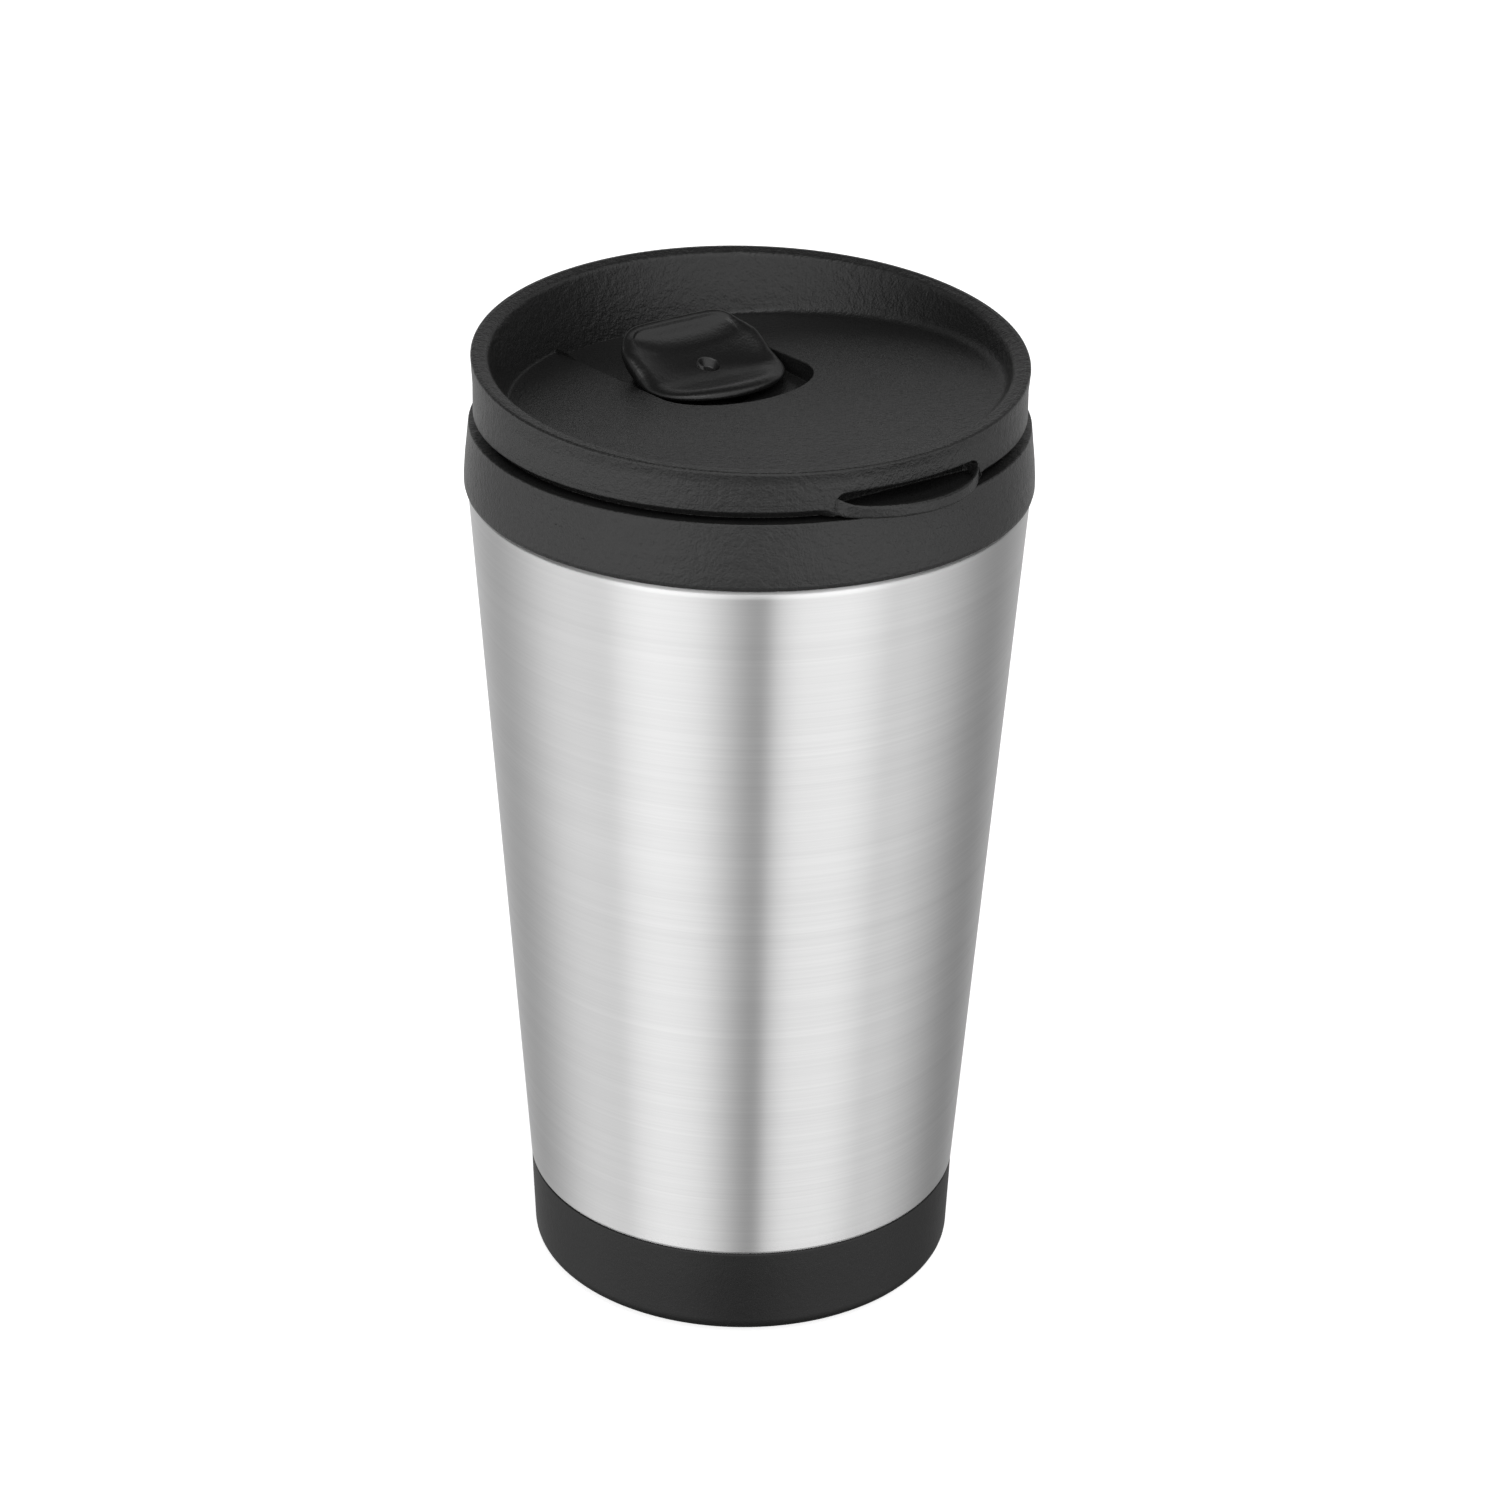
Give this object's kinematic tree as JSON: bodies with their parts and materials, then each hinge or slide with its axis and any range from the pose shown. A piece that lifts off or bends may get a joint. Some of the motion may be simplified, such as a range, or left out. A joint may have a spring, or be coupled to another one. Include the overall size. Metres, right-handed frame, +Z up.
{
  "type": "insulated travel mug",
  "caption": "Tapered steel travel mug with a black collar and base cup, closed by a push-in lid with a tilted drinking rim, a lift tab and a thumb slide over the drinking hole.",
  "frame": {"origin": "centre of the underside, on the surface the mug stands on", "axes": "+Z up along the mug's axis, -Y towards the lid's lift tab, +Y towards the drinking side"},
  "size_m": [0.0868, 0.0895, 0.1556],
  "materials": {
    "brushed_steel": "fine horizontal brushing",
    "plain_steel": "plain drawn steel",
    "black_plastic": "fine moulded grain",
    "base_plastic": "smooth matte",
    "slide_plastic": "smooth satin",
    "seal_rubber": "smooth silicone",
    "pad_rubber": "matte foam rubber"
  },
  "bodies": {
    "mug_body": {"outer_shell": "brushed_steel", "shell_bottom": "plain_steel", "inner_liner": "plain_steel", "collar_ring": "black_plastic", "collar_seal": "seal_rubber", "base_cup": "base_plastic", "foot_pad": "pad_rubber"},
    "lid": {"lid_body": "black_plastic", "lid_seal_ring": "seal_rubber"},
    "thumb_slide": {"slider": "slide_plastic", "slider_seal": "seal_rubber", "slider_clip": "slide_plastic"}
  },
  "joints": [
    {"name": "lid_lift", "type": "slide", "parent": "mug_body", "child": "lid", "axis": [0, 0, 1], "range_m": [0, 0.06]},
    {"name": "slide_open", "type": "slide", "parent": "lid", "child": "thumb_slide", "axis": [0, -1, 0], "range_m": [0, 0.006]}
  ]
}
